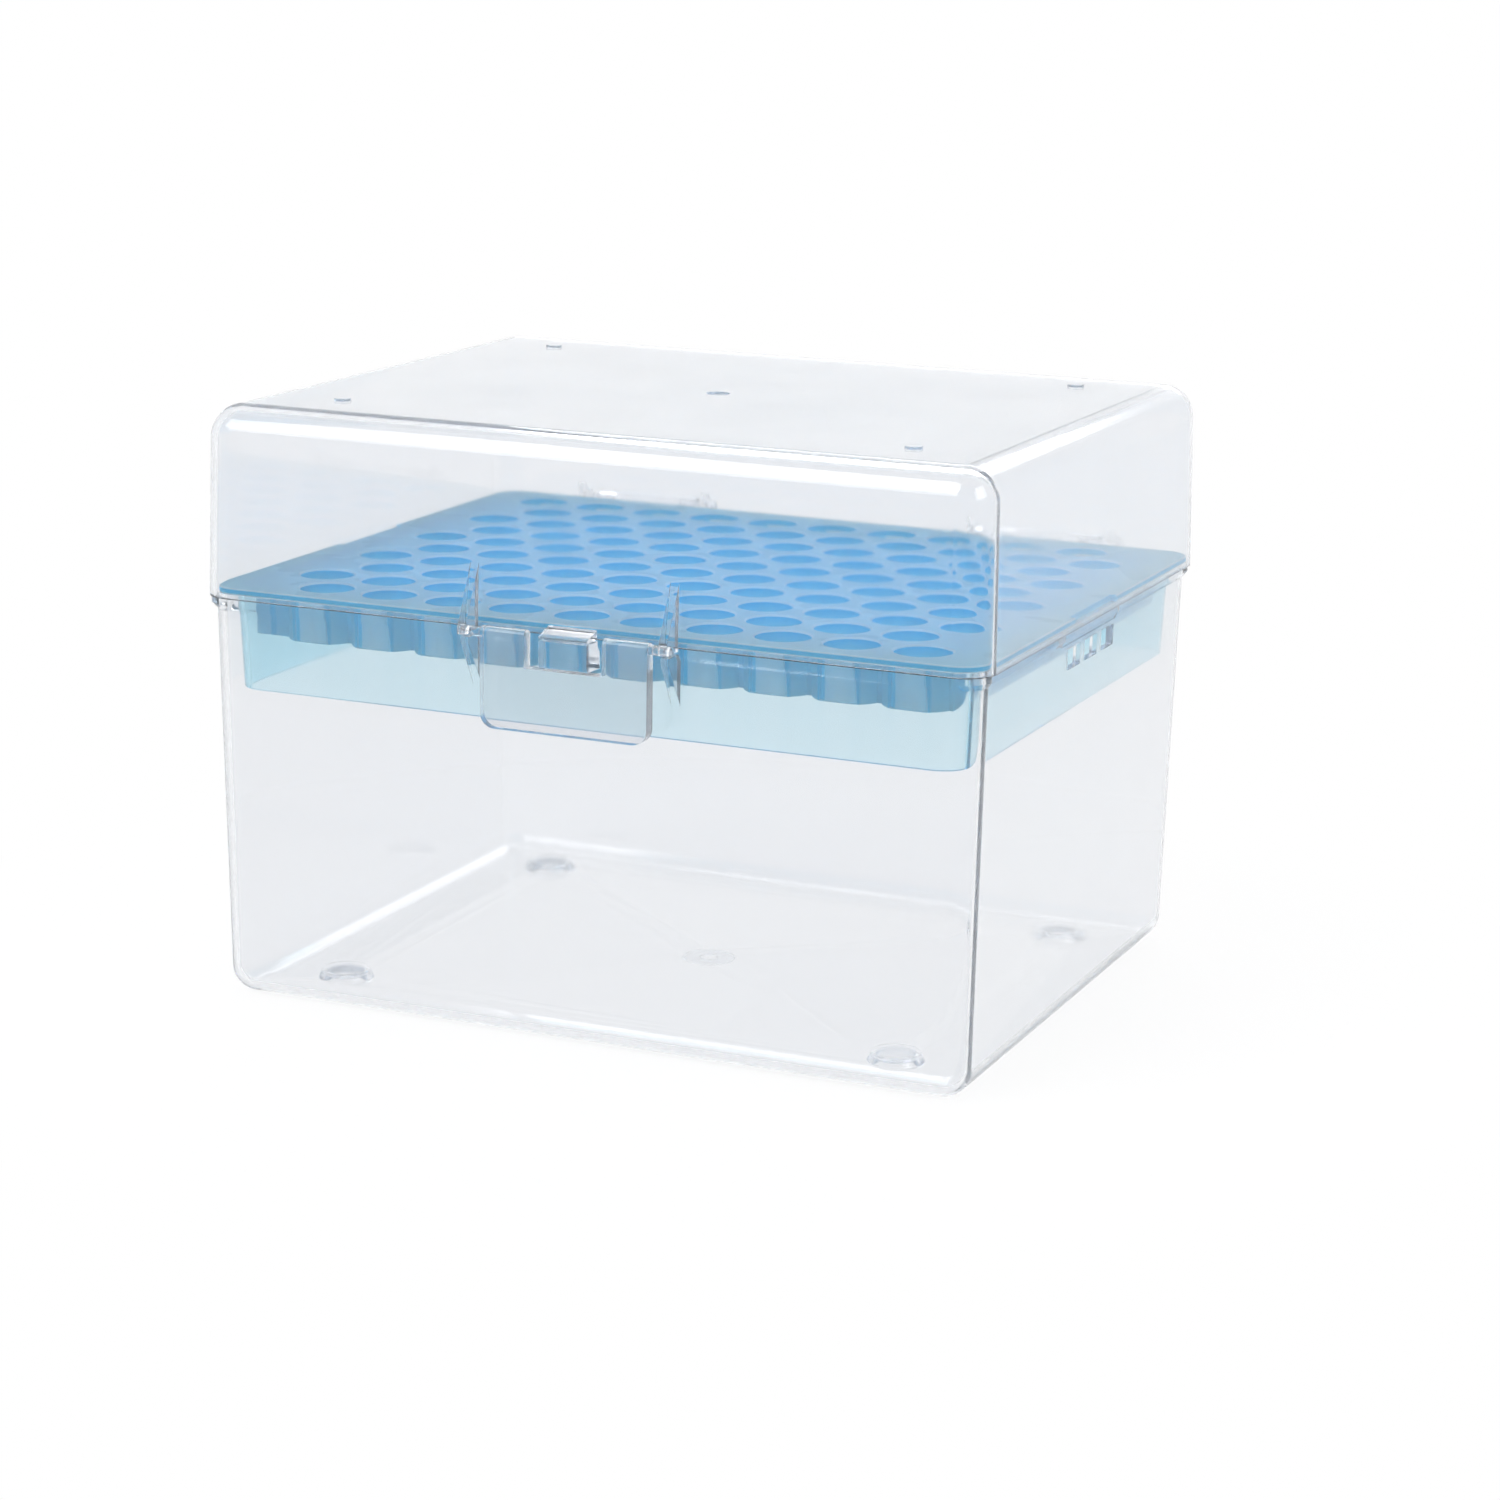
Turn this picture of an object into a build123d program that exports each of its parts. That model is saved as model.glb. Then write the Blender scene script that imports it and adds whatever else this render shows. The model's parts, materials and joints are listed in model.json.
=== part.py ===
from build123d import *
import os
from math import cos, radians, sin, sqrt, tan

# Clear, hinged-lid box for 100 large pipette tips, with its lift-out tip rack.
# Millimetres, +Z up. The origin is the middle of the underside, the latch is
# at -Y and the hinge at +Y. The box is modelled closed, with the latch down.

# Whole box
box_width = 130.0  # over the lid's lower edge, side to side
box_depth = 104.0  # over the lid's lower edge, front to back
box_height = 95.0  # underside to the tops of the stacking pips
parting_z = 64.6  # the lid's edge sits on the base's rim here

# Base: drafted tub, open at the top
base_width = 125.4  # at the underside
base_depth = 99.8
base_draft = 1.0  # degrees a side
base_radius = 4.4  # on the upright edges and round the foot
base_wall = 1.2
base_floor = 1.3
rim_reach = 0.7  # how far the rim stands out from the wall
rim_height = 1.0
rim_chamfer = 1.0  # height of the slope under the rim
lip_height = 0.6  # inner lip above the rim, which carries the rack
lip_inset = 0.3

# Lid: drafted cover, open at the bottom
lid_draft = 1.0
lid_radius = 5.3  # on the upright edges and round the top
lid_wall = 1.0
lid_top = 1.2
pip_height = 0.4

# Side windows of the base: three slots under the pad that centres the rack
window_pitch = 8.05
window_width = 5.85
window_low_z = 58.2
window_high_z = 61.4
pad_width = 26.0
pad_low_z = 62.0
pad_high_z = 64.4
pad_face_x = 61.3

# Stacking: pips on the lid drop into dimples under the base, whose floor rises over them
stack_x = 47.5
stack_y = 36.7
pip_radius = 1.35
dimple_radius = 3.9  # at the mouth
dimple_depth = 1.8
dimple_draft = 22.0
dimple_wall = 0.9

# Gate marks left by the moulds
lid_gate_radius = 1.9
base_gate_radius = 4.35
gate_depth = 0.4

# Tip rack
hole_pitch = 11.0
hole_diameter = 8.5
hole_columns = 10
hole_rows = 10
row_spacing = hole_pitch * sqrt(3) / 2
plate_width = 127.4
plate_depth = 101.4
plate_corner = 4.5
plate_thickness = 1.05
skirt_width = 122.2
skirt_depth = 98.0
skirt_corner = 4.5
skirt_draft = 2.3
skirt_wall = 1.0
skirt_bottom_z = 50.0
tube_radius = 5.6  # round each well; the outer rows' tubes run into the skirt
core_width = 115.7  # the block that joins the tubes, side to side
core_depth = 90.2
comb_bottom_z = 58.4  # underside of the tubes
finger_length = 20.0  # lifting notches in the plate's side edges
finger_depth = 1.0

# Flats that stand for small or repeated rounds, to keep the hundred wells light
well_sides = 12
small_sides = 16

# Hinge: two straps on the base, each between a pair of lugs on the lid
hinge_y = 54.4
hinge_z = 65.6
hinge_barrel_radius = 1.5
hinge_pin_radius = 0.8
hinge_clearance = 0.05
strap_middle_x = 37.0
strap_width = 19.0
strap_foot_z = 59.5
lug_offset = 12.0  # from the strap's middle to each lug's middle
lug_thickness = 1.2
lug_apex_z = 69.0
lug_reach = 4.1
pin_engagement = 2.8
socket_depth = 3.4

# Latch: a flap on two pins that snap up into the lid's front fins
latch_y = -54.3
latch_z = 64.5
latch_barrel_radius = 1.1
latch_pin_radius = 0.7
latch_clearance = 0.05
latch_width = 27.6
latch_bottom_z = 50.1
latch_corner = 2.4
slot_width = 12.8  # cut-out round the catch, open at the top
slot_floor_z = 59.9
fin_x = 16.5
fin_thickness = 1.4
lid_fin_apex_z = 75.0
lid_fin_y = -56.1
lid_fin_bottom_z = 64.15
lid_fin_foot_y = -51.8  # clear of the base's rim
base_fin_apex_z = 55.0
base_fin_y = -55.1
base_fin_top_z = 63.7
catch_width = 8.0
catch_y = -55.5
catch_bottom_z = 60.1
catch_gap = 0.2
catch_nose_radius = 1.0
ledge_root_z = 66.2
ledge_nose_z = 65.0

bury = 0.4  # how far ribs start inside the wall that carries them

# Derived sizes
rim_top_z = parting_z
rim_low_z = rim_top_z - rim_height
rim_root_z = rim_low_z - rim_chamfer
lip_top_z = rim_top_z + lip_height
plate_low_z = lip_top_z
plate_top_z = plate_low_z + plate_thickness
lid_top_z = box_height - pip_height
base_spread = tan(radians(base_draft))
lid_spread = tan(radians(lid_draft))


# A block with leaning sides, and one radius rolled along its upright edges and
# round its foot, or round its top. A positive draft narrows it upwards.
def moulded_block(width, depth, radius, low_z, high_z, draft, round_top):
    foot = Plane.XY.offset(low_z) * Rectangle(width, depth)
    block = extrude(foot, high_z - low_z, taper=draft)
    edges = block.edges().sort_by(Axis.Z)
    return fillet(edges[4:] if round_top else edges[:8], radius)


# A band with rounded corners whose sides lean outwards by spread, bottom to top.
def collar(width, depth, corner, low_z, high_z, spread=0.0):
    low = Plane.XY.offset(low_z) * RectangleRounded(width, depth, corner)
    if spread == 0:
        return extrude(low, high_z - low_z)
    high = Plane.XY.offset(high_z) * RectangleRounded(
        width + 2 * spread, depth + 2 * spread, corner
    )
    return loft([low.face(), high.face()], ruled=True)


# A small upright post, drawn with flats. A draft narrows it upwards.
def post(radius, low_z, high_z, draft=0.0):
    outline = Plane.XY.offset(low_z) * RegularPolygon(radius, small_sides)
    return extrude(outline, high_z - low_z, taper=draft)


# A flat rib standing across X, drawn as (y, z) points.
def rib(points, middle_x, thickness):
    outline = make_face(Polyline(*points, close=True))
    return extrude(Plane.YZ.offset(middle_x) * outline, thickness / 2, both=True)


# A round bar along X, from one x to another.
def bar(radius, y, z, low_x, high_x):
    disc = Plane.YZ.offset(low_x) * (Pos(y, z) * Circle(radius))
    return extrude(disc, high_x - low_x)


def make_base():
    rim_root_width = base_width + 2 * rim_root_z * base_spread
    rim_root_depth = base_depth + 2 * rim_root_z * base_spread

    tub = moulded_block(
        base_width, base_depth, base_radius, 0, rim_top_z, -base_draft, False
    )

    # rim, with its sloped underside, and the inner lip on it
    tub += collar(
        rim_root_width - 2 * bury,
        rim_root_depth - 2 * bury,
        base_radius,
        rim_root_z - bury * rim_chamfer / rim_reach,
        rim_low_z,
        rim_reach + bury,
    )
    tub += collar(
        rim_root_width + 2 * rim_reach,
        rim_root_depth + 2 * rim_reach,
        base_radius,
        rim_low_z,
        rim_top_z,
    )
    tub += collar(
        rim_root_width - 2 * lip_inset,
        rim_root_depth - 2 * lip_inset,
        base_radius - lip_inset,
        rim_top_z,
        lip_top_z,
    )

    tub += make_base_fins()
    tub += make_catch(rim_root_depth / 2 - bury)
    for side in (-1, 1):
        tub += make_hinge_strap(side)

    # inside, with the same draft as the outside
    tub -= moulded_block(
        base_width + 2 * (base_floor * base_spread - base_wall),
        base_depth + 2 * (base_floor * base_spread - base_wall),
        base_radius - base_wall,
        base_floor,
        lip_top_z + 1,
        -base_draft,
        False,
    )

    for side in (-1, 1):
        tub += make_pad(side)
    slot = Box(2 * box_width, window_width, window_high_z - window_low_z)
    for step in (-1, 0, 1):
        tub -= Pos(0, step * window_pitch, (window_low_z + window_high_z) / 2) * slot

    # stacking dimples and the gate well, in the underside
    for spot in GridLocations(2 * stack_x, 2 * stack_y, 2, 2):
        tub += spot * post(
            dimple_radius + dimple_wall, bury, dimple_depth + dimple_wall, dimple_draft
        )
        tub -= spot * post(dimple_radius, 0, dimple_depth, dimple_draft)
    tub -= post(base_gate_radius, 0, gate_depth) - post(base_gate_radius / 3, 0, gate_depth)
    return tub


# Inner pad over the side windows, which keeps the rack's skirt in the middle.
def make_pad(side):
    wall_x = base_width / 2 + pad_low_z * base_spread - base_wall + bury
    pad = Box(wall_x - pad_face_x, pad_width, pad_high_z - pad_low_z)
    return Pos(side * (wall_x + pad_face_x) / 2, 0, (pad_low_z + pad_high_z) / 2) * pad


def make_base_fins():
    wall_y = -(base_depth / 2 + base_fin_apex_z * base_spread - bury)
    profile = [
        (wall_y, base_fin_apex_z),
        (base_fin_y, base_fin_top_z - 1.0),
        (base_fin_y, base_fin_top_z),
        (wall_y, base_fin_top_z),
    ]
    return [rib(profile, side * fin_x, fin_thickness) for side in (-1, 1)]


# The catch that the flap's cut-out hooks under.
def make_catch(root_y):
    top_z = rim_top_z - catch_gap
    profile = [
        (-root_y, catch_bottom_z),
        (catch_y, catch_bottom_z),
        (catch_y, top_z),
        (-root_y, top_z),
    ]
    catch = rib(profile, 0, catch_width)
    nose = catch.edges().filter_by(Axis.X).group_by(Axis.Y)[0].sort_by(Axis.Z)[0]
    return fillet(nose, catch_nose_radius)


# One strap: a web off the back wall with a barrel on its end.
def make_hinge_strap(side):
    middle = side * strap_middle_x
    wall_y = base_depth / 2 + strap_foot_z * base_spread - bury
    lean = radians(-40)
    profile = [
        (wall_y, strap_foot_z),
        (
            hinge_y + hinge_barrel_radius * cos(lean),
            hinge_z + hinge_barrel_radius * sin(lean),
        ),
        (hinge_y, hinge_z),
        (hinge_y - hinge_barrel_radius, hinge_z),
        (hinge_y - hinge_barrel_radius, rim_top_z - 0.8),
        (wall_y, rim_top_z - 0.8),
    ]
    low_x = middle - strap_width / 2
    high_x = middle + strap_width / 2
    strap = rib(profile, middle, strap_width)
    strap += bar(hinge_barrel_radius, hinge_y, hinge_z, low_x, high_x)
    socket_radius = hinge_pin_radius + hinge_clearance
    strap -= bar(socket_radius, hinge_y, hinge_z, low_x, low_x + socket_depth)
    strap -= bar(socket_radius, hinge_y, hinge_z, high_x - socket_depth, high_x)
    return strap


def make_lid():
    cover = moulded_block(
        box_width, box_depth, lid_radius, parting_z, lid_top_z, lid_draft, True
    )

    cover += make_lid_fins()
    cover += make_ledge()
    for side in (-1, 1):
        for end in (-1, 1):
            cover += make_hinge_lug(side, end)

    cover -= moulded_block(
        box_width - 2 * lid_wall,
        box_depth - 2 * lid_wall,
        lid_radius - lid_wall,
        parting_z,
        lid_top_z - lid_top,
        lid_draft,
        True,
    )

    for spot in GridLocations(2 * stack_x, 2 * stack_y, 2, 2):
        cover += spot * post(pip_radius, lid_top_z - bury, box_height)
    cover -= post(lid_gate_radius, lid_top_z - gate_depth, box_height)
    return cover


# Fins either side of the latch. Each has a socket, open below, that the
# flap's pin snaps up into.
def make_lid_fins():
    wall_y = -(box_depth / 2 - bury)
    profile = [
        (wall_y, lid_fin_apex_z),
        (lid_fin_y, lid_fin_bottom_z + 1.1),
        (lid_fin_y, lid_fin_bottom_z),
        (lid_fin_foot_y, lid_fin_bottom_z),
        (lid_fin_foot_y, parting_z),
        (wall_y, parting_z),
    ]
    fins = []
    for side in (-1, 1):
        fin = rib(profile, side * fin_x, fin_thickness)
        fin -= bar(
            latch_pin_radius + latch_clearance,
            latch_y,
            latch_z,
            side * fin_x - fin_thickness,
            side * fin_x + fin_thickness,
        )
        fins.append(fin)
    return fins


# Thumb ledge over the catch.
def make_ledge():
    wall_y = -(box_depth / 2 - bury)
    profile = [
        (wall_y, parting_z),
        (catch_y, parting_z),
        (catch_y, ledge_nose_z),
        (wall_y, ledge_root_z),
    ]
    return rib(profile, 0, catch_width)


# One gusset lug with a boss and a pin that points at the strap's barrel.
def make_hinge_lug(side, end):
    middle = side * strap_middle_x + end * lug_offset
    wall_y = box_depth / 2 - bury
    profile = [
        (wall_y, lug_apex_z),
        (wall_y, parting_z),
        (box_depth / 2 + lug_reach, parting_z),
    ]
    lug = rib(profile, middle, lug_thickness)
    low_x = middle - lug_thickness / 2
    boss = bar(hinge_barrel_radius, hinge_y, hinge_z, low_x, low_x + lug_thickness)
    # the boss stops at the parting plane
    boss -= Pos(middle, hinge_y, parting_z - 5) * Box(10, 10, 10)
    lug += boss
    pin_tip = side * strap_middle_x + end * (strap_width / 2 - pin_engagement)
    lug += bar(
        hinge_pin_radius, hinge_y, hinge_z, min(middle, pin_tip), max(middle, pin_tip)
    )
    return lug


def make_latch():
    front_y = latch_y - latch_barrel_radius
    back_y = latch_y + latch_barrel_radius
    top_z = latch_z + latch_barrel_radius

    outline = Rectangle(latch_width, top_z - latch_bottom_z)
    outline = fillet(outline.vertices().group_by(Axis.Y)[0], latch_corner)
    middle_z = (top_z + latch_bottom_z) / 2
    flap = extrude(
        Plane.XZ.offset(-back_y) * (Pos(0, middle_z) * outline), back_y - front_y
    )
    # the ears' upper edges follow the pins
    rounded = flap.edges().filter_by(Axis.X).group_by(Axis.Z)[-1]
    flap = fillet(rounded, latch_barrel_radius - 0.01)

    # slot round the catch, open at the top
    slot_height = top_z - slot_floor_z + 1
    slot_z = slot_floor_z + slot_height / 2
    flap -= Pos(0, latch_y, slot_z) * Box(slot_width, 10, slot_height)

    for side in (-1, 1):
        inner_x = side * (latch_width / 2 - 1)
        outer_x = side * (fin_x + fin_thickness / 2 - 0.1)
        flap += bar(
            latch_pin_radius, latch_y, latch_z, min(inner_x, outer_x), max(inner_x, outer_x)
        )
    return flap


def make_rack():
    plate = collar(plate_width, plate_depth, plate_corner, plate_low_z, plate_top_z)
    for side in (-1, 1):
        plate -= Pos(side * plate_width / 2, 0, plate_top_z) * Box(
            2 * finger_depth, finger_length, 4 * plate_thickness
        )

    # skirt, narrowing downwards
    lean = (plate_low_z - skirt_bottom_z) * tan(radians(skirt_draft))
    low_width = skirt_width - 2 * lean
    low_depth = skirt_depth - 2 * lean
    skirt = collar(low_width, low_depth, skirt_corner, skirt_bottom_z, plate_low_z, lean)
    skirt -= collar(
        low_width - 2 * skirt_wall,
        low_depth - 2 * skirt_wall,
        skirt_corner - skirt_wall,
        skirt_bottom_z,
        plate_low_z,
        lean,
    )

    # under the plate, a core joins the tubes round the wells; those of the front
    # and back rows stand out of it and meet the skirt, with pockets between them
    centres = well_centres()
    outer_y = (hole_rows - 1) / 2 * row_spacing
    tubes = Rectangle(core_width, core_depth) + [
        Pos(x, y) * RegularPolygon(tube_radius, well_sides)
        for x, y in centres
        if abs(y) > outer_y - 1
    ]
    comb = extrude(Plane.XY.offset(comb_bottom_z) * tubes, plate_low_z - comb_bottom_z)

    # the wells are as wide across their flats as the tips need
    outline = RegularPolygon(hole_diameter / 2, well_sides, major_radius=False)
    well = extrude(
        Plane.XY.offset(comb_bottom_z - 1) * outline, plate_top_z - comb_bottom_z + 2
    )
    return plate + skirt + comb - [Pos(x, y) * well for x, y in centres]


# Close-packed rows, each second one shifted by half a pitch.
def well_centres():
    middle_column = (hole_columns - 0.5) / 2
    centres = []
    for row in range(hole_rows):
        y = (row - (hole_rows - 1) / 2) * row_spacing
        shift = 0.5 if row % 2 == 0 else 0.0
        for column in range(hole_columns):
            centres.append(((column + shift - middle_column) * hole_pitch, y))
    return centres


os.makedirs("parts", exist_ok=True)
export_step(make_base(), "parts/base.step")
export_step(make_lid(), "parts/lid.step")
export_step(make_latch(), "parts/latch.step")
export_step(make_rack(), "parts/rack.step")
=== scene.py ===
import json
from math import radians, tan

import bpy
from mathutils import Matrix, Vector

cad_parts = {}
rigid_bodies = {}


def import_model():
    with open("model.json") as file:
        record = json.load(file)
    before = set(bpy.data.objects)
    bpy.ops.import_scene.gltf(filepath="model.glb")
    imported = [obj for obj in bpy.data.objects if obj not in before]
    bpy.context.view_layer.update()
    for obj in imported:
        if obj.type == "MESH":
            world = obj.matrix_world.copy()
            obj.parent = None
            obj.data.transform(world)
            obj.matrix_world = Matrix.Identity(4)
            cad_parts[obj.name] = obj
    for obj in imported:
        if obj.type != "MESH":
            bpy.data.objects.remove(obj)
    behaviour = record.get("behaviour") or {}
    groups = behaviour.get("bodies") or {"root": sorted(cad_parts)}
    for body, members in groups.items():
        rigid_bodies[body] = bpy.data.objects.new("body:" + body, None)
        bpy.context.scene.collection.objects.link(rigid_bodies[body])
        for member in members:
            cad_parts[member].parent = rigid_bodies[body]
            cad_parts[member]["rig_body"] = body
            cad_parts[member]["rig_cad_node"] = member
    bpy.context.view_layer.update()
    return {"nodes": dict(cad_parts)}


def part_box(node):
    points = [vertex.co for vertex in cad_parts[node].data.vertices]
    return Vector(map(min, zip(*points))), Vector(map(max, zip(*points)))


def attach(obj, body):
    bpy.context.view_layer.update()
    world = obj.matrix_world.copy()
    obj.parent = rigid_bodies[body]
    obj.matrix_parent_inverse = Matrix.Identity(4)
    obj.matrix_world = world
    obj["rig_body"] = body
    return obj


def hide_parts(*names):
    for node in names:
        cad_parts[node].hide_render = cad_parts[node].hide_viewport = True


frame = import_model()
print("frame loaded:", sorted(frame["nodes"]))

mm = 0.001


def selectOnly(piece):
    if bpy.context.object and bpy.context.object.mode != "OBJECT":
        bpy.ops.object.mode_set(mode="OBJECT")
    bpy.ops.object.select_all(action="DESELECT")
    piece.select_set(True)
    bpy.context.view_layer.objects.active = piece


def applyModifiers(piece):
    selectOnly(piece)
    for modifier in list(piece.modifiers):
        bpy.ops.object.modifier_apply(modifier=modifier.name)


cleanUp = {"mergeDistance": 0.002 * mm, "flatAngle": 0.4}


def copyNode(nodeName, pieceName):
    source = frame["nodes"][nodeName]
    piece = source.copy()
    piece.data = source.data.copy()
    piece.name = pieceName
    piece.data.name = pieceName
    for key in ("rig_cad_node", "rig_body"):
        if key in piece:
            del piece[key]
    piece.parent = None
    bpy.context.scene.collection.objects.link(piece)
    selectOnly(piece)
    bpy.ops.object.mode_set(mode="EDIT")
    bpy.ops.mesh.select_all(action="SELECT")
    bpy.ops.mesh.remove_doubles(threshold=cleanUp["mergeDistance"])
    bpy.ops.mesh.dissolve_limited(angle_limit=radians(cleanUp["flatAngle"]))
    bpy.ops.object.mode_set(mode="OBJECT")
    if piece.data.has_custom_normals:
        bpy.ops.mesh.customdata_custom_splitnormals_clear()
    return piece


def roundEdges(piece, width, segments, angle):
    bevel = piece.modifiers.new("soften", "BEVEL")
    bevel.width = width
    bevel.segments = segments
    bevel.limit_method = "ANGLE"
    bevel.angle_limit = radians(angle)
    bevel.use_clamp_overlap = True
    applyModifiers(piece)


# small edge radius, then normals weighted by area so that flats stay flat
def softenEdges(piece, width, segments, angle, smoothAngle):
    roundEdges(piece, width, segments, angle)
    bpy.ops.object.shade_smooth_by_angle(angle=radians(smoothAngle))
    flatten = piece.modifiers.new("flatten", "WEIGHTED_NORMAL")
    flatten.mode = "FACE_AREA"
    flatten.weight = 100
    flatten.keep_sharp = True
    applyModifiers(piece)


def moveMesh(piece, x, y, z):
    piece.data.transform(Matrix.Translation((x, y, z)))


def booleanWith(piece, tool, operation):
    change = piece.modifiers.new("change", "BOOLEAN")
    change.operation = operation
    change.solver = "EXACT"
    change.object = tool
    applyModifiers(piece)
    bpy.data.objects.remove(tool)


# block whose sides lean out at the top, with rounded upright edges
def addBlock(name, width, depth, lowZ, highZ, corner, lean=0.0, steps=7):
    bpy.ops.object.select_all(action="DESELECT")
    bpy.ops.mesh.primitive_cube_add(size=1, location=(0, 0, 0))
    block = bpy.context.object
    block.name = name
    block.scale = (width, depth, highZ - lowZ)
    block.location = (0, 0, (lowZ + highZ) / 2)
    bpy.ops.object.transform_apply(location=True, rotation=True, scale=True)
    if lean:
        for vertex in block.data.vertices:
            if vertex.co.z > (lowZ + highZ) / 2:
                vertex.co.x += lean if vertex.co.x > 0 else -lean
                vertex.co.y += lean if vertex.co.y > 0 else -lean
    if corner:
        bpy.ops.object.mode_set(mode="EDIT")
        bpy.ops.mesh.select_mode(type="EDGE")
        bpy.ops.mesh.select_all(action="DESELECT")
        bpy.ops.object.mode_set(mode="OBJECT")
        for edge in block.data.edges:
            ends = [block.data.vertices[i].co.z for i in edge.vertices]
            edge.select = abs(ends[0] - ends[1]) > 0.5 * (highZ - lowZ)
        bpy.ops.object.mode_set(mode="EDIT")
        bpy.ops.mesh.bevel(offset=corner, segments=steps, affect="EDGES")
        bpy.ops.object.mode_set(mode="OBJECT")
    return block


# the same round post at every place, joined into one mesh; flare widens the top
def addPosts(name, places, radius, sides, lowZ, highZ, flare=0.0):
    bpy.ops.object.select_all(action="DESELECT")
    bpy.ops.mesh.primitive_cylinder_add(
        vertices=sides, radius=radius, depth=highZ - lowZ,
        location=(0, 0, (lowZ + highZ) / 2))
    first = bpy.context.object
    first.name = name
    bpy.ops.object.transform_apply(location=True, rotation=True, scale=True)
    if flare:
        bpy.ops.object.mode_set(mode="EDIT")
        bpy.ops.mesh.select_mode(type="FACE")
        bpy.ops.mesh.select_all(action="DESELECT")
        bpy.ops.object.mode_set(mode="OBJECT")
        for face in first.data.polygons:
            face.select = face.normal.z > 0.9
        bpy.ops.object.mode_set(mode="EDIT")
        bpy.ops.mesh.extrude_region_move(
            TRANSFORM_OT_translate={"value": (0, 0, 2 * flare)})
        wider = (radius + 2 * flare) / radius
        bpy.ops.transform.resize(value=(wider, wider, 1), center_override=(0, 0, 0))
        bpy.ops.object.mode_set(mode="OBJECT")
    posts = [first]
    for x, y in places[1:]:
        post = first.copy()
        post.data = first.data.copy()
        moveMesh(post, x, y, 0)
        bpy.context.scene.collection.objects.link(post)
        posts.append(post)
    moveMesh(first, places[0][0], places[0][1], 0)
    selectOnly(first)
    for post in posts:
        post.select_set(True)
    bpy.ops.object.join()
    return first


def setMaterial(piece, material):
    piece.data.materials.clear()
    piece.data.materials.append(material)


def newMaterial(name):
    material = bpy.data.materials.new(name)
    material.use_nodes = True
    nodes = material.node_tree.nodes
    links = material.node_tree.links
    nodes.clear()
    return material, nodes, links


def calc(nodes, links, operation, *values):
    node = nodes.new("ShaderNodeMath")
    node.operation = operation
    for slot, value in enumerate(values):
        if isinstance(value, (int, float)):
            node.inputs[slot].default_value = value
        else:
            links.new(value, node.inputs[slot])
    return node.outputs["Value"]


def ramp(nodes, links, value, start, end, low=0.0, high=1.0):
    node = nodes.new("ShaderNodeMapRange")
    node.inputs["From Min"].default_value = start
    node.inputs["From Max"].default_value = end
    node.inputs["To Min"].default_value = low
    node.inputs["To Max"].default_value = high
    links.new(value, node.inputs["Value"])
    return node.outputs["Result"]


def blendColours(nodes, links, amount, first, second):
    node = nodes.new("ShaderNodeMix")
    node.data_type = "RGBA"
    links.new(amount, node.inputs[0])
    for slot, colour in ((6, first), (7, second)):
        if isinstance(colour, tuple):
            node.inputs[slot].default_value = colour
        else:
            links.new(colour, node.inputs[slot])
    return node.outputs[2]


clearLook = {
    "tint": (0.966, 0.97, 0.98, 1),
    "milkTint": (0.94, 0.96, 1.0, 1),
    "milkShare": 0.055,
    "frontMilk": 0.03,
    "frontStart": -52.6 * mm,
    "ior": 1.46,
    "roughLow": 0.03,
    "roughHigh": 0.08,
    "absorbTint": (0.64, 0.76, 0.88, 1),
    "absorbDensity": 14.0,
    "hazeScale": 60.0,
    "hazeDetail": 4.0,
    "hazeRange": (0.3, 0.75),
    "waveScale": 28.0,
    "waveDetail": 2.0,
    "waveStrength": 0.35,
    "waveHeight": 0.02 * mm,
}


def makeClearPlastic(name, look):
    material, nodes, links = newMaterial(name)
    output = nodes.new("ShaderNodeOutputMaterial")
    surface = nodes.new("ShaderNodeBsdfPrincipled")
    surface.inputs["Transmission Weight"].default_value = 1.0
    surface.inputs["IOR"].default_value = look["ior"]
    surface.inputs["Base Color"].default_value = look["tint"]
    place = nodes.new("ShaderNodeTexCoord")

    haze = nodes.new("ShaderNodeTexNoise")
    haze.inputs["Scale"].default_value = look["hazeScale"]
    haze.inputs["Detail"].default_value = look["hazeDetail"]
    links.new(place.outputs["Object"], haze.inputs["Vector"])
    links.new(ramp(nodes, links, haze.outputs["Fac"], *look["hazeRange"],
                   look["roughLow"], look["roughHigh"]),
              surface.inputs["Roughness"])

    flow = nodes.new("ShaderNodeTexNoise")
    flow.inputs["Scale"].default_value = look["waveScale"]
    flow.inputs["Detail"].default_value = look["waveDetail"]
    links.new(place.outputs["Object"], flow.inputs["Vector"])
    flowBump = nodes.new("ShaderNodeBump")
    flowBump.inputs["Strength"].default_value = look["waveStrength"]
    flowBump.inputs["Distance"].default_value = look["waveHeight"]
    links.new(flow.outputs["Fac"], flowBump.inputs["Height"])
    links.new(flowBump.outputs["Normal"], surface.inputs["Normal"])

    absorb = nodes.new("ShaderNodeVolumeAbsorption")
    absorb.inputs["Color"].default_value = look["absorbTint"]
    absorb.inputs["Density"].default_value = look["absorbDensity"]
    milk = nodes.new("ShaderNodeBsdfTranslucent")
    milk.inputs["Color"].default_value = look["milkTint"]
    mix = nodes.new("ShaderNodeMixShader")
    # the small thick parts at the front are cloudier than the walls
    split = nodes.new("ShaderNodeSeparateXYZ")
    links.new(place.outputs["Object"], split.inputs["Vector"])
    atFront = calc(nodes, links, "LESS_THAN", split.outputs["Y"], look["frontStart"])
    links.new(calc(nodes, links, "MULTIPLY_ADD", atFront, look["frontMilk"],
                   look["milkShare"]), mix.inputs["Fac"])
    links.new(surface.outputs["BSDF"], mix.inputs[1])
    links.new(milk.outputs["BSDF"], mix.inputs[2])
    links.new(mix.outputs["Shader"], output.inputs["Surface"])
    links.new(absorb.outputs["Volume"], output.inputs["Volume"])
    return material


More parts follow.
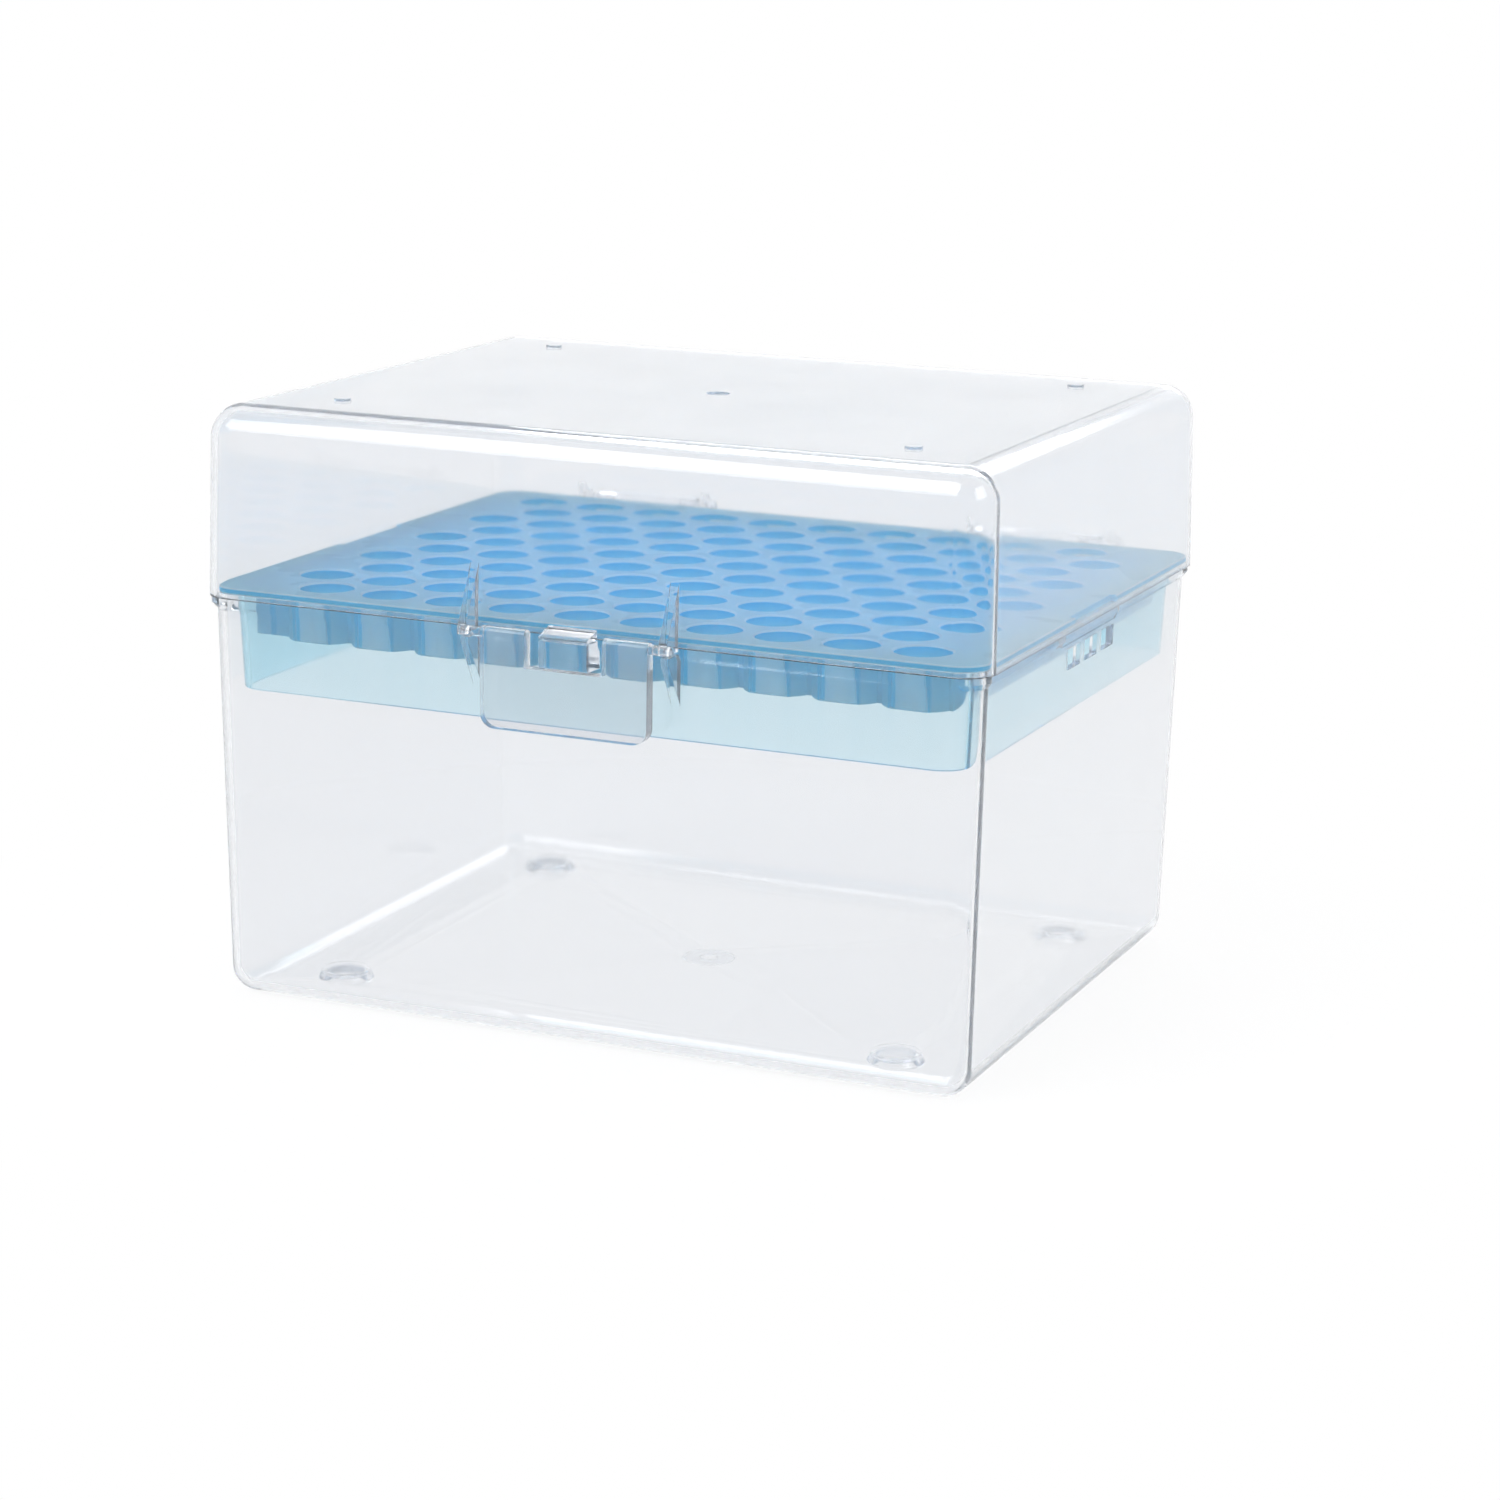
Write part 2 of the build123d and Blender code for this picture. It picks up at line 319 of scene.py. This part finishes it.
blueLook = {
    "land": (0.54, 0.84, 0.94, 1),
    # painted highlight on the rounded edges
    "rim": (0.80, 0.95, 1.0, 1),
    "deep": (0.10, 0.66, 0.96, 1),
    # painted light: paler lower part of the wells' walls
    "wellPaintedLight": (0.30, 0.84, 0.97, 1),
    # painted light and shade on the comb: pale tube fronts and pockets, deep tube sides
    "tubeFrontPaintedLight": (0.97, 1.0, 1.0, 1),
    "tubeSidePaintedShade": (0.28, 0.84, 1.0, 1),
    "pocketPaintedLight": (0.72, 0.97, 1.0, 1),
    "cloudShare": 0.12,
    "ior": 1.46,
    "roughLow": 0.22,
    "roughHigh": 0.34,
    "glow": 0.62,
    "thinTint": (0.92, 0.98, 1.0, 1),
    "thinRough": 0.1,
    "thinLow": 0.97,
    "thinHigh": 0.92,
    "absorbTint": (0.28, 0.86, 1.0, 1),
    "absorbDensity": 260.0,
    "cloudScale": 45.0,
    "cloudDetail": 3.0,
    "grainScale": 1400.0,
    "grainDetail": 2.0,
    "grainStrength": 0.2,
    "grainHeight": 0.02 * mm,
    "edgeTurn": 0.15,
    "landTurn": 0.98,
    "skirtLow": 50.0 * mm,
    "skirtHigh": 65.0 * mm,
    "skirtSlope": 0.0402,
    "skirtCentre": (53.98 * mm, 41.88 * mm),
    "skirtRadius": 3.35 * mm,
    # painted light and shade: heights over which the wells' walls go from pale to deep
    "wellLightFade": (64.4 * mm, 65.8 * mm),
    "combFace": (57.7 * mm, 45.05 * mm),
    "combShift": 2.75 * mm,
    "combHalfPitch": 5.5 * mm,
    "tubeSideStart": (2.3 * mm, 2.5 * mm),
    "tubeSideEnd": (3.2 * mm, 3.5 * mm),
}


# colours painted by place and by which way a face points, with painted light, shade and
# highlights in the wells, on the comb and on rounded edges, see-through in the skirt
def makeBluePlastic(name, look):
    material, nodes, links = newMaterial(name)
    output = nodes.new("ShaderNodeOutputMaterial")
    thick = nodes.new("ShaderNodeBsdfPrincipled")
    thick.inputs["IOR"].default_value = look["ior"]
    place = nodes.new("ShaderNodeTexCoord")
    split = nodes.new("ShaderNodeSeparateXYZ")
    links.new(place.outputs["Object"], split.inputs["Vector"])
    height = split.outputs["Z"]
    sideX = calc(nodes, links, "ABSOLUTE", split.outputs["X"])
    sideY = calc(nodes, links, "ABSOLUTE", split.outputs["Y"])
    shape = nodes.new("ShaderNodeNewGeometry")
    facing = nodes.new("ShaderNodeSeparateXYZ")
    links.new(shape.outputs["True Normal"], facing.inputs["Vector"])
    flatness = calc(nodes, links, "ABSOLUTE", facing.outputs["Z"])

    # wells: painted light and shade, deep at the top edge and paler below, where light
    # comes through the thin wall
    wellLightAndShade = blendColours(nodes, links,
                          ramp(nodes, links, height, *look["wellLightFade"]),
                          look["wellPaintedLight"], look["deep"])
    # outside of the comb: painted light, pale where a tube meets the skirt and between
    # tubes, and painted shade, deep at the tube's sides
    turned = calc(nodes, links, "SIGN", split.outputs["Y"])
    along = calc(nodes, links, "MULTIPLY_ADD", turned, -look["combShift"],
                 split.outputs["X"])
    fromTube = calc(nodes, links, "PINGPONG", along, look["combHalfPitch"])
    tubeSidePaintedShade = blendColours(nodes, links,
                            ramp(nodes, links, fromTube, *look["tubeSideStart"]),
                            look["tubeFrontPaintedLight"], look["tubeSidePaintedShade"])
    combLightAndShade = blendColours(nodes, links,
                           ramp(nodes, links, fromTube, *look["tubeSideEnd"]),
                           tubeSidePaintedShade, look["pocketPaintedLight"])
    faceX, faceY = look["combFace"]
    onComb = calc(nodes, links, "MULTIPLY",
                  calc(nodes, links, "MAXIMUM",
                       calc(nodes, links, "GREATER_THAN", sideX, faceX),
                       calc(nodes, links, "GREATER_THAN", sideY, faceY)),
                  calc(nodes, links, "LESS_THAN", height, look["skirtHigh"]))
    # upright faces carry the painted light and shade of the wells and the comb
    upright = blendColours(nodes, links, onComb, wellLightAndShade, combLightAndShade)
    # painted highlight: pale colour on the rounded edges
    rounded = blendColours(nodes, links,
                           calc(nodes, links, "GREATER_THAN", flatness, look["edgeTurn"]),
                           upright, look["rim"])
    body = blendColours(nodes, links,
                        calc(nodes, links, "GREATER_THAN", flatness, look["landTurn"]),
                        rounded, look["land"])

    cloud = nodes.new("ShaderNodeTexNoise")
    cloud.inputs["Scale"].default_value = look["cloudScale"]
    cloud.inputs["Detail"].default_value = look["cloudDetail"]
    links.new(place.outputs["Object"], cloud.inputs["Vector"])
    colour = blendColours(nodes, links,
                          calc(nodes, links, "MULTIPLY", cloud.outputs["Fac"],
                               look["cloudShare"]),
                          body, look["deep"])
    links.new(colour, thick.inputs["Base Color"])
    links.new(ramp(nodes, links, cloud.outputs["Fac"], 0.0, 1.0,
                   look["roughLow"], look["roughHigh"]),
              thick.inputs["Roughness"])

    grain = nodes.new("ShaderNodeTexNoise")
    grain.inputs["Scale"].default_value = look["grainScale"]
    grain.inputs["Detail"].default_value = look["grainDetail"]
    links.new(place.outputs["Object"], grain.inputs["Vector"])
    bump = nodes.new("ShaderNodeBump")
    bump.inputs["Strength"].default_value = look["grainStrength"]
    bump.inputs["Distance"].default_value = look["grainHeight"]
    links.new(grain.outputs["Fac"], bump.inputs["Height"])
    links.new(bump.outputs["Normal"], thick.inputs["Normal"])

    glow = nodes.new("ShaderNodeBsdfTranslucent")
    links.new(colour, glow.inputs["Color"])
    thickMix = nodes.new("ShaderNodeMixShader")
    thickMix.inputs["Fac"].default_value = look["glow"]
    links.new(thick.outputs["BSDF"], thickMix.inputs[1])
    links.new(glow.outputs["BSDF"], thickMix.inputs[2])

    thin = nodes.new("ShaderNodeBsdfPrincipled")
    thin.inputs["IOR"].default_value = look["ior"]
    thin.inputs["Transmission Weight"].default_value = 1.0
    thin.inputs["Base Color"].default_value = look["thinTint"]
    thin.inputs["Roughness"].default_value = look["thinRough"]

    # distance out from a rounded oblong that leans with the skirt's inner face
    reach = []
    for side, centre in zip((sideX, sideY), look["skirtCentre"]):
        leaned = calc(nodes, links, "MULTIPLY_ADD", height, -look["skirtSlope"], side)
        beyond = calc(nodes, links, "MAXIMUM",
                      calc(nodes, links, "SUBTRACT", leaned, centre), 0.0)
        reach.append(calc(nodes, links, "MULTIPLY", beyond, beyond))
    distance = calc(nodes, links, "SQRT", calc(nodes, links, "ADD", *reach))
    inSkirt = calc(nodes, links, "MULTIPLY",
                   calc(nodes, links, "GREATER_THAN", distance, look["skirtRadius"]),
                   calc(nodes, links, "LESS_THAN", height, look["skirtHigh"]))
    thinPart = calc(nodes, links, "MULTIPLY", inSkirt,
                    ramp(nodes, links, height, look["skirtLow"], look["skirtHigh"],
                         look["thinLow"], look["thinHigh"]))
    mix = nodes.new("ShaderNodeMixShader")
    links.new(thinPart, mix.inputs["Fac"])
    links.new(thickMix.outputs["Shader"], mix.inputs[1])
    links.new(thin.outputs["BSDF"], mix.inputs[2])
    links.new(mix.outputs["Shader"], output.inputs["Surface"])

    absorb = nodes.new("ShaderNodeVolumeAbsorption")
    absorb.inputs["Color"].default_value = look["absorbTint"]
    absorb.inputs["Density"].default_value = look["absorbDensity"]
    links.new(absorb.outputs["Volume"], output.inputs["Volume"])
    return material


clearPlastic = makeClearPlastic("clearPlastic", clearLook)
bluePlastic = makeBluePlastic("bluePlastic", blueLook)
print("materials made")


rackForm = {
    "pitch": 11.0 * mm,
    "columns": 10,
    "rows": 10,
    "plateDrop": 1.05 * mm,
    "plateCorner": 4.5 * mm,
    "skirtTop": (122.2 * mm, 98.0 * mm),
    "skirtDrop": 15.2 * mm,
    "skirtDraft": 2.3,
    "skirtWall": 1.0 * mm,
    "skirtCorner": 4.5 * mm,
    "core": (115.7 * mm, 90.2 * mm),
    "combDrop": 6.8 * mm,
    "tubeRadius": 5.6 * mm,
    "wellRadius": 4.25 * mm,
    "wellSides": 40,
    "notch": (1.0 * mm, 20.0 * mm),
    "notchReach": 2 * mm,
    "edge": 0.22 * mm,
    "segments": 2,
    "sharp": 40,
    "smooth": 35,
    "flare": 0.3 * mm,
    "bury": 0.3 * mm,
    "edgeRowReach": 3 * mm,
    "wellReach": 1 * mm,
}


# close-packed rows, each second one shifted by half a pitch
def wellPlaces(form):
    rowGap = form["pitch"] * 3 ** 0.5 / 2
    places = []
    for row in range(form["rows"]):
        y = (row - (form["rows"] - 1) / 2) * rowGap
        shift = 0.5 if row % 2 == 0 else 0.0
        for column in range(form["columns"]):
            x = (column + shift - (form["columns"] - 0.5) / 2) * form["pitch"]
            places.append((x, y))
    return places


def makeRack(form):
    low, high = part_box("rack")
    plateLow = high.z - form["plateDrop"]
    bury = form["bury"]
    reach = form["notchReach"]
    rack = addBlock("rackMoulding", high.x - low.x, high.y - low.y,
                    plateLow, high.z, form["plateCorner"])
    roundEdges(rack, form["edge"], form["segments"], form["sharp"])
    for side in (-1, 1):
        notch = addBlock("notch", 2 * form["notch"][0], form["notch"][1],
                         plateLow - reach, high.z + reach, 0)
        moveMesh(notch, side * high.x, 0, 0)
        booleanWith(rack, notch, "DIFFERENCE")

    lean = form["skirtDrop"] * tan(radians(form["skirtDraft"]))
    skirtLow = plateLow - form["skirtDrop"]
    wide = form["skirtTop"][0] - 2 * lean
    deep = form["skirtTop"][1] - 2 * lean
    skirt = addBlock("skirt", wide, deep, skirtLow, plateLow + bury,
                     form["skirtCorner"], lean)
    wall = form["skirtWall"]
    inside = addBlock("inside", wide - 2 * wall, deep - 2 * wall,
                      skirtLow - bury, plateLow + 2 * bury,
                      form["skirtCorner"] - wall, lean)
    booleanWith(skirt, inside, "DIFFERENCE")

    places = wellPlaces(form)
    combLow = plateLow - form["combDrop"]
    core = addBlock("core", form["core"][0], form["core"][1],
                    combLow, plateLow + bury, 0)
    # only the front and back rows' tubes stand out of the core
    edgeRows = [place for place in places
                if abs(place[1]) > form["core"][1] / 2 - form["edgeRowReach"]]
    tubes = addPosts("tubes", edgeRows, form["tubeRadius"], form["wellSides"],
                     combLow, plateLow + bury)
    booleanWith(core, tubes, "UNION")
    booleanWith(skirt, core, "UNION")
    booleanWith(rack, skirt, "UNION")

    wells = addPosts("wells", places, form["wellRadius"], form["wellSides"],
                     combLow - form["wellReach"], high.z - form["flare"],
                     form["flare"])
    booleanWith(rack, wells, "DIFFERENCE")
    softenEdges(rack, form["edge"], form["segments"], form["sharp"], form["smooth"])
    setMaterial(rack, bluePlastic)
    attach(rack, "base")
    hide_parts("rack")
    return rack


rack = makeRack(rackForm)
print("rack made:", len(rack.data.polygons), "faces")


clearForm = {"edge": 0.2 * mm, "segments": 2, "sharp": 35, "smooth": 32}


def makeClearPiece(nodeName, pieceName, bodyName, form):
    piece = copyNode(nodeName, pieceName)
    softenEdges(piece, form["edge"], form["segments"], form["sharp"], form["smooth"])
    setMaterial(piece, clearPlastic)
    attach(piece, bodyName)
    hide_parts(nodeName)
    print(pieceName, "made:", len(piece.data.polygons), "faces")


makeClearPiece("base", "tubMoulding", "base", clearForm)
makeClearPiece("lid", "lidMoulding", "lid", clearForm)
makeClearPiece("latch", "latchFlap", "latch", clearForm)


room = {
    "floorSize": 6.0,
    "floorColour": (0.93, 0.935, 0.945, 1),
    "shadowShare": 0.10,
    "shadowNear": 0.06,
    "shadowFar": 0.14,
    "skyRange": (0.12, 0.65),
    "skyHigh": (0.74, 0.74, 0.7622, 1),
    "skyFill": 0.55,
    "skyFillColour": (0.97, 0.98, 1.0, 1),
}

bpy.ops.object.select_all(action="DESELECT")
bpy.ops.mesh.primitive_plane_add(size=room["floorSize"], location=(0, 0, 0))
floor = bpy.context.object
floor.name = "studioFloor"


def seenRays(nodes, links):
    rays = nodes.new("ShaderNodeLightPath")
    first = nodes.new("ShaderNodeMath")
    first.operation = "MAXIMUM"
    links.new(rays.outputs["Is Camera Ray"], first.inputs[0])
    links.new(rays.outputs["Is Glossy Ray"], first.inputs[1])
    second = nodes.new("ShaderNodeMath")
    second.operation = "MAXIMUM"
    links.new(first.outputs["Value"], second.inputs[0])
    links.new(rays.outputs["Is Transmission Ray"], second.inputs[1])
    return second.outputs["Value"]


def makeFloorMaterial(values):
    material, nodes, links = newMaterial("studioPaper")
    output = nodes.new("ShaderNodeOutputMaterial")
    matte = nodes.new("ShaderNodeBsdfDiffuse")
    matte.inputs["Color"].default_value = values["floorColour"]
    white = nodes.new("ShaderNodeEmission")
    white.inputs["Color"].default_value = (1, 1, 1, 1)
    white.inputs["Strength"].default_value = 1.0
    # plain white away from the box, a little shadow near it
    place = nodes.new("ShaderNodeTexCoord")
    far = nodes.new("ShaderNodeVectorMath")
    far.operation = "LENGTH"
    links.new(place.outputs["Object"], far.inputs[0])
    fade = nodes.new("ShaderNodeMapRange")
    fade.inputs["From Min"].default_value = values["shadowNear"]
    fade.inputs["From Max"].default_value = values["shadowFar"]
    fade.inputs["To Min"].default_value = 1 - values["shadowShare"]
    fade.inputs["To Max"].default_value = 1.0
    links.new(far.outputs["Value"], fade.inputs["Value"])
    share = nodes.new("ShaderNodeMath")
    share.operation = "MULTIPLY"
    links.new(fade.outputs["Result"], share.inputs[1])
    links.new(seenRays(nodes, links), share.inputs[0])
    mix = nodes.new("ShaderNodeMixShader")
    links.new(share.outputs["Value"], mix.inputs["Fac"])
    links.new(matte.outputs["BSDF"], mix.inputs[1])
    links.new(white.outputs["Emission"], mix.inputs[2])
    links.new(mix.outputs["Shader"], output.inputs["Surface"])
    return material


setMaterial(floor, makeFloorMaterial(room))


def makeWorld(values):
    world = bpy.data.worlds.new("studioSky")
    bpy.context.scene.world = world
    world.use_nodes = True
    nodes = world.node_tree.nodes
    links = world.node_tree.links
    nodes.clear()
    output = nodes.new("ShaderNodeOutputWorld")
    fill = nodes.new("ShaderNodeBackground")
    fill.inputs["Color"].default_value = values["skyFillColour"]
    fill.inputs["Strength"].default_value = values["skyFill"]
    seen = nodes.new("ShaderNodeBackground")
    seen.inputs["Strength"].default_value = 1.0
    place = nodes.new("ShaderNodeTexCoord")
    split = nodes.new("ShaderNodeSeparateXYZ")
    links.new(place.outputs["Generated"], split.inputs["Vector"])
    shade = nodes.new("ShaderNodeValToRGB")
    low, high = shade.color_ramp.elements
    low.position, high.position = values["skyRange"]
    low.color = (1, 1, 1, 1)
    high.color = values["skyHigh"]
    links.new(split.outputs["Z"], shade.inputs["Fac"])
    links.new(shade.outputs["Color"], seen.inputs["Color"])
    mix = nodes.new("ShaderNodeMixShader")
    links.new(seenRays(nodes, links), mix.inputs["Fac"])
    links.new(fill.outputs["Background"], mix.inputs[1])
    links.new(seen.outputs["Background"], mix.inputs[2])
    # plain white straight on and through the walls, the shaded sky in reflections
    rays = nodes.new("ShaderNodeLightPath")
    direct = nodes.new("ShaderNodeMath")
    direct.operation = "MAXIMUM"
    links.new(rays.outputs["Is Camera Ray"], direct.inputs[0])
    links.new(rays.outputs["Is Transmission Ray"], direct.inputs[1])
    plain = nodes.new("ShaderNodeBackground")
    plain.inputs["Color"].default_value = (1, 1, 1, 1)
    plain.inputs["Strength"].default_value = 1.0
    last = nodes.new("ShaderNodeMixShader")
    links.new(direct.outputs["Value"], last.inputs["Fac"])
    links.new(mix.outputs["Shader"], last.inputs[1])
    links.new(plain.outputs["Background"], last.inputs[2])
    links.new(last.outputs["Shader"], output.inputs["Surface"])


makeWorld(room)

lamps = {
    "keyLamp": {"place": (-0.45, -0.75, 0.95), "size": 0.7, "power": 9.0},
    "sideLamp": {"place": (0.95, -0.25, 0.65), "size": 0.6, "power": 5.0},
    "backLamp": {"place": (-0.2, 0.95, 0.85), "size": 0.8, "power": 6.0},
}


lampAim = Vector((0, 0, 50 * mm))


def addLamp(name, values):
    bpy.ops.object.light_add(type="AREA", location=values["place"])
    lamp = bpy.context.object
    lamp.name = name
    lamp.data.shape = "SQUARE"
    lamp.data.size = values["size"]
    lamp.data.energy = values["power"]
    aim = lampAim - Vector(values["place"])
    lamp.rotation_euler = aim.to_track_quat("-Z", "Y").to_euler()


for lampName in lamps:
    addLamp(lampName, lamps[lampName])
print("room and lamps made")


cameraView = {
    "place": (235.8 * mm, -531.8 * mm, 178.3 * mm),
    "turn": 23.3156,
    "tilt": 13.7257,
    "roll": 1.0064,
    "lens": 88.17,
    "sensor": 36.0,
    "nearest": 0.01,
}

bpy.ops.object.camera_add(location=cameraView["place"])
camera = bpy.context.object
camera.name = "studioCamera"
camera.data.sensor_width = cameraView["sensor"]
camera.data.lens = cameraView["lens"]
camera.data.clip_start = cameraView["nearest"]
camera.matrix_world = (
    Matrix.Translation(cameraView["place"])
    @ Matrix.Rotation(radians(cameraView["turn"]), 4, "Z")
    @ Matrix.Rotation(radians(90 - cameraView["tilt"]), 4, "X")
    @ Matrix.Rotation(radians(cameraView["roll"]), 4, "Z")
)
bpy.context.scene.camera = camera
bpy.context.scene.view_settings.view_transform = "Standard"
# light crosses many walls in a clear box inside a clear box
lightSteps = 64
bpy.context.scene.cycles.max_bounces = lightSteps
bpy.context.scene.cycles.glossy_bounces = lightSteps
bpy.context.scene.cycles.transmission_bounces = lightSteps
print("camera placed")
